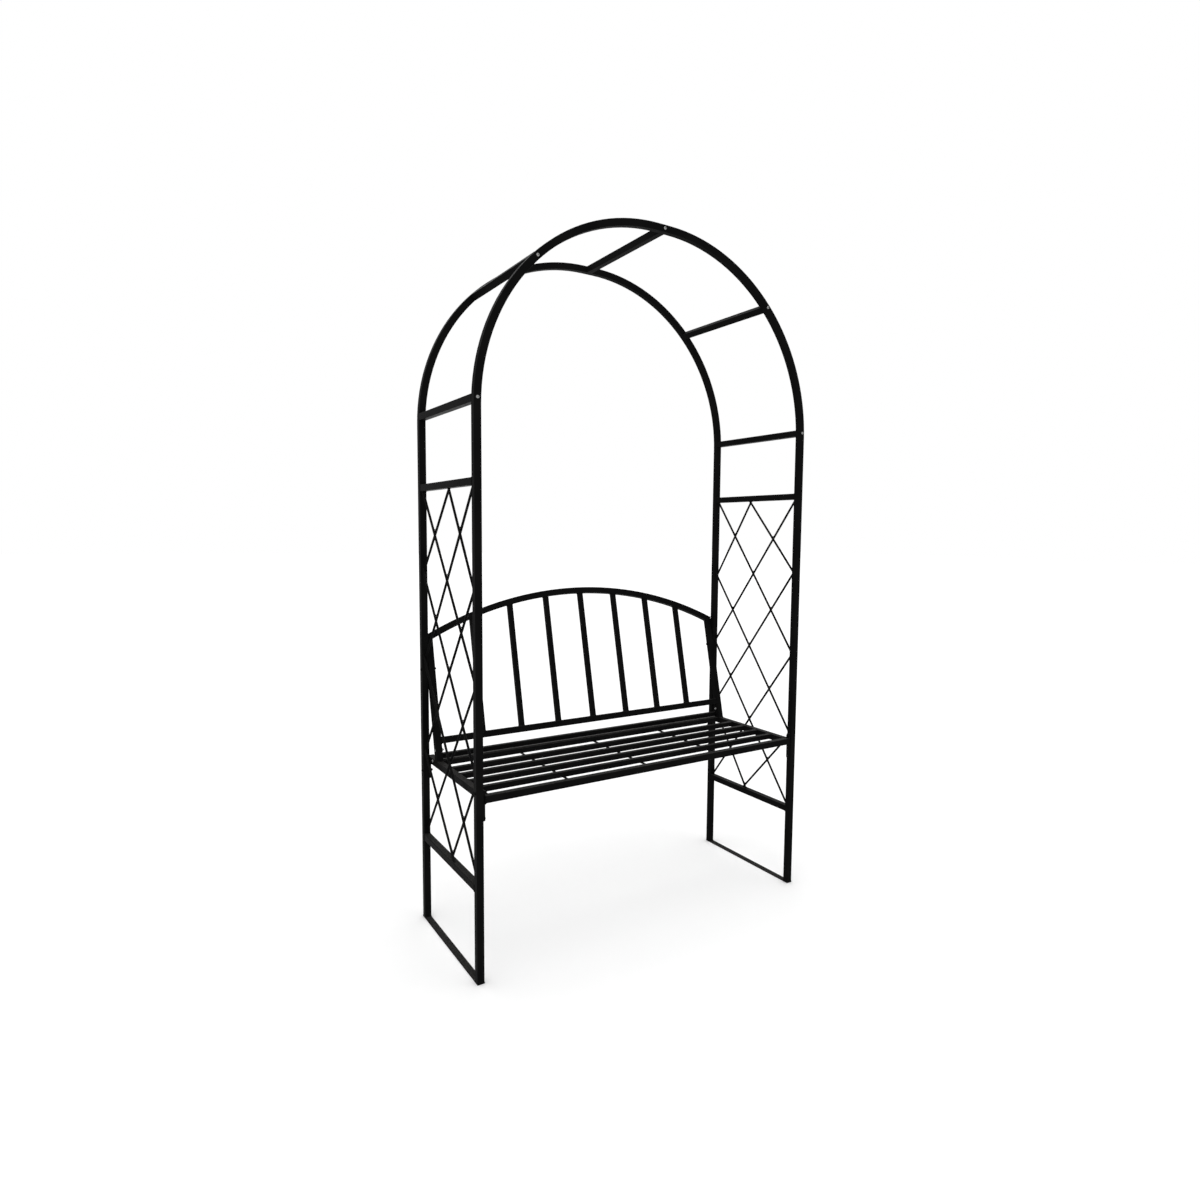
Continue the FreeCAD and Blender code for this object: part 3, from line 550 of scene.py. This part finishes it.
def make_side_welds(side):
    """Crossbars to the posts, and the posts to their ground strip."""
    mesh = bmesh.new()
    weld_tube_ends(mesh, f"{side}_lower_crossbar", Y_AXIS, seed=10)
    weld_tube_ends(mesh, f"{side}_upper_crossbar", Y_AXIS, seed=12)
    weld_tube_end(mesh, f"{side}_front_post", Z_AXIS, False, seed=20)
    weld_tube_end(mesh, f"{side}_rear_post", Z_AXIS, False, seed=21)
    add_piece(f"{side}_panel_welds", mesh, PAINT, "black_paint")


def weld_rail_to_lug(mesh, sign, seed):
    """The thick bead in the corner under the front rail, where it meets its lug."""
    low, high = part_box("seat_front_rail")
    end_x = high.x if sign > 0 else low.x
    start = Vector((end_x, low.y + 2 * BEAD, low.z))
    stop = Vector((end_x, high.y - 2 * BEAD, low.z))
    add_bead(mesh, [start, stop], CORNER_BEAD, seed)


def weld_bar_to_lug(mesh, side, sign, seed):
    """A bead along the inner side of the rear lug's top, where it hangs under its side bar."""
    lug_low, lug_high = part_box(f"{side}_rear_lug")
    inner_x = lug_low.x if sign > 0 else lug_high.x
    start = Vector((inner_x, lug_low.y + BEAD, lug_high.z))
    stop = Vector((inner_x, lug_high.y - BEAD, lug_high.z))
    add_bead(mesh, [start, stop], BEAD, seed)


def weld_rear_rail(mesh, side, seed):
    """Beads along both lower edges of the rear rail, where its end lies on a side bar."""
    rail_low, rail_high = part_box("seat_rear_rail")
    bar_low, bar_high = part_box(f"seat_{side}_bar")
    for number, y in enumerate((rail_low.y + INSET, rail_high.y - INSET)):
        start = Vector((max(bar_low.x, rail_low.x), y, rail_low.z))
        stop = Vector((min(bar_high.x, rail_high.x), y, rail_low.z))
        add_bead(mesh, [start, stop], BEAD, seed + number)


def make_long_weld():
    """A bead that fills the narrow gap between the rear rail and the last slat, light grey as a painted
    highlight.
    """
    mesh = bmesh.new()
    slat_low, slat_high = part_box("seat_slat_5")
    rail_low, rail_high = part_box("seat_rear_rail")
    middle_y = (slat_high.y + rail_low.y) / 2
    start = Vector((slat_low.x, middle_y, slat_high.z))
    stop = Vector((slat_high.x, middle_y, slat_high.z))
    add_bead(mesh, [start, stop], LONG_BEAD, seed=64)
    # Painted highlight: the long weld's light grey material
    add_piece("rear_rail_weld", mesh, WELD_HIGHLIGHT_PAINT, "black_paint")


def weld_cross_rod(mesh, name, seed):
    """Tacks where a cross rod passes under each slat, and a bead at the front rail."""
    rod_low, rod_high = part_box(name)
    rod_radius = (rod_high.x - rod_low.x) / 2
    middle = box_middle(name)
    tack_z = rod_high.z - SLAT_TACK_DROP * rod_radius
    half = SLAT_TACK_HALF * rod_radius * ACROSS
    for number in range(1, SLATS + 1):
        slat_low, slat_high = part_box(f"seat_slat_{number}")
        for y in (slat_low.y, slat_high.y):
            spot = Vector((middle.x, y, tack_z))
            add_bead(mesh, [spot - half, spot + half], SLAT_TACK * rod_radius, seed)
            seed += 1
    front = Vector((middle.x, rod_low.y, middle.z))
    ring = ellipse(front, rod_radius * ACROSS, rod_radius * UPWARD)
    add_bead(mesh, ring, ROD_END_BEAD * rod_radius, seed, closed=True)


def make_seat_welds():
    """The seat's tubes to each other and to the lugs, and the cross rods to the slats."""
    mesh = bmesh.new()
    for number in range(1, SLATS + 1):
        weld_tube_ends(mesh, f"seat_slat_{number}", X_AXIS, seed=30 + 2 * number)
    weld_tube_ends(mesh, "seat_front_rail", X_AXIS, seed=50)
    for number, (side, sign) in enumerate((("left", -1), ("right", 1))):
        weld_tube_end(mesh, f"seat_{side}_bar", Y_AXIS, False, seed=54 + number)
        weld_rail_to_lug(mesh, sign, seed=56 + number)
        weld_bar_to_lug(mesh, side, sign, seed=58 + number)
        weld_rear_rail(mesh, side, seed=60 + 2 * number)
    for number, place in enumerate(("left", "middle", "right")):
        weld_cross_rod(mesh, f"seat_cross_rod_{place}", seed=200 + 20 * number)
    add_piece("seat_welds", mesh, PAINT, "black_paint")


def weld_upright_top(mesh, name, half_width, seed):
    """A bead round the sloping top of a spindle or stile, where the bowed rail meets it."""
    points = solids_of(name)[0]
    foot = box_middle("back_lower_rail")
    foot.x = box_middle(name).x
    corners = []
    for sign in (-1, 1):
        flank = [point for point in points if sign * (point.x - foot.x) > FLANK_SHARE * half_width]
        rise = max((point - foot).dot(UP_THE_BACK) for point in flank)
        edge = foot + sign * half_width * ACROSS + rise * UP_THE_BACK
        corners.append(edge - sign * half_width * OUT_OF_BACK)
        corners.append(edge + sign * half_width * OUT_OF_BACK)
    add_bead(mesh, corners, BEAD, seed, closed=True)


def weld_stile_foot(mesh, name, half_width, seed):
    """A bead round the level foot of a stile, where it stands on its side bar."""
    points = solids_of(name)[0]
    bottom = min(point.z for point in points)
    low, high = reach([point for point in points if point.z < bottom + LEVEL_WITHIN])
    half_depth = (high.y - low.y) / 2 - INSET
    loop = around((low + high) / 2, half_width * ACROSS, half_depth * BACKWARD)
    add_bead(mesh, loop, BEAD, seed, closed=True)


def make_back_welds():
    """Stiles to side bars and rails, and the spindles to both rails."""
    mesh = bmesh.new()
    rail_low, rail_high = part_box("back_lower_rail")
    rail_middle = box_middle("back_lower_rail")
    stile_half = half_side("back_left_stile", X_AXIS)
    spindle_half = half_side("back_spindle_4", X_AXIS)
    for number, (side, x) in enumerate((("left", rail_low.x), ("right", rail_high.x))):
        name = f"back_{side}_stile"
        end = Vector((x, rail_middle.y, rail_middle.z))
        loop = around(end, stile_half * UP_THE_BACK, stile_half * OUT_OF_BACK)
        add_bead(mesh, loop, BEAD, seed=70 + number, closed=True)
        weld_upright_top(mesh, name, stile_half, seed=72 + number)
        weld_stile_foot(mesh, name, stile_half, seed=74 + number)
    for number in range(1, SPINDLES + 1):
        name = f"back_spindle_{number}"
        foot = rail_middle + (stile_half + INSET) * UP_THE_BACK
        foot.x = box_middle(name).x
        loop = around(foot, spindle_half * ACROSS, spindle_half * OUT_OF_BACK)
        add_bead(mesh, loop, BEAD, seed=80 + number, closed=True)
        weld_upright_top(mesh, name, spindle_half, seed=90 + number)
    add_piece("back_welds", mesh, PAINT, "black_paint")


for side_name in ("left", "right"):
    make_side_welds(side_name)
    make_lattice_welds(side_name)
make_seat_welds()
make_long_weld()
make_back_welds()


# Floor, light and camera

def shows_background(tree):
    """1 for the rays that show the background: the camera's, those of gloss and through glass."""
    rays = add_node(tree, "ShaderNodeLightPath").outputs
    seen = add_node(tree, "ShaderNodeMath", {
        0: rays["Is Camera Ray"], 1: rays["Is Glossy Ray"]}, operation="MAXIMUM").outputs["Value"]
    return add_node(tree, "ShaderNodeMath", {
        0: seen, 1: rays["Is Transmission Ray"]}, operation="MAXIMUM").outputs["Value"]


WHITE = (1.0, 1.0, 1.0, 1.0)
NEARLY_WHITE = (0.92, 0.92, 0.92, 1.0)
PALE = (0.8, 0.8, 0.8, 1.0)


def make_floor():
    """A wide pale plane that keeps the object's soft shadow."""
    half = 40.0
    corners = [(-half, -half, 0), (half, -half, 0), (half, half, 0), (-half, half, 0)]
    mesh = bpy.data.meshes.new("floor")
    mesh.from_pydata(corners, [], [(0, 1, 2, 3)])
    floor = bpy.data.objects.new("floor", mesh)
    scene.collection.objects.link(floor)
    material, tree, shader = new_material("pale_floor")
    colour = blend(tree, shows_background(tree), PALE, WHITE)
    tree.links.new(colour, shader.inputs["Base Color"])
    shader.inputs["Roughness"].default_value = 1.0
    shader.inputs["Specular IOR Level"].default_value = 0.0
    mesh.materials.append(material)


def make_overhead_light():
    """A very wide soft light from straight above, the same all over the floor."""
    light = bpy.data.lights.new("overhead", "SUN")
    light.energy = 0.7
    light.angle = math.radians(70)
    lamp = bpy.data.objects.new("overhead", light)
    scene.collection.objects.link(lamp)


def make_world():
    """A white studio all round; its light on the object and the floor is a little under white."""
    world = bpy.data.worlds.new("studio")
    scene.world = world
    world.use_nodes = True
    tree = world.node_tree
    tree.nodes.clear()
    colour = blend(tree, shows_background(tree), NEARLY_WHITE, WHITE)
    background = add_node(tree, "ShaderNodeBackground", {"Color": colour})
    output = add_node(tree, "ShaderNodeOutputWorld")
    tree.links.new(background.outputs["Background"], output.inputs["Surface"])


def make_camera():
    """The photograph's camera, found by fitting the posts, hoops, bars and lattice to it.

    The place is in metres, the angles are in radians, and the rest is in the photograph's pixels.
    """
    photo_width = 1200
    focal_pixels = 769.85
    centre_x, centre_y = 628.48, 599.10
    posts_middle_y = (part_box("left_front_post")[0].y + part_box("left_rear_post")[1].y) / 2
    place = Vector((-1.31838, posts_middle_y - 2.05860, 1.19678))
    yaw, pitch, roll = 0.5813, -0.0849, 0.0104

    level_forward = Vector((math.sin(yaw), math.cos(yaw), 0.0))
    forward = math.cos(pitch) * level_forward + math.sin(pitch) * UPWARD
    level_right = Vector((math.cos(yaw), -math.sin(yaw), 0.0))
    level_up = level_right.cross(forward)
    right = math.cos(roll) * level_right + math.sin(roll) * level_up
    up = math.cos(roll) * level_up - math.sin(roll) * level_right

    lens = bpy.data.cameras.new("camera")
    lens.sensor_width = 36.0
    lens.lens = focal_pixels / photo_width * lens.sensor_width
    lens.shift_x = (photo_width / 2 - centre_x) / photo_width
    lens.shift_y = (centre_y - photo_width / 2) / photo_width
    camera = bpy.data.objects.new("camera", lens)
    turn = Matrix((right, up, -forward)).transposed().to_4x4()
    camera.matrix_world = Matrix.Translation(place) @ turn
    scene.collection.objects.link(camera)
    scene.camera = camera


make_floor()
make_overhead_light()
make_world()
make_camera()
scene.view_settings.view_transform = "Standard"
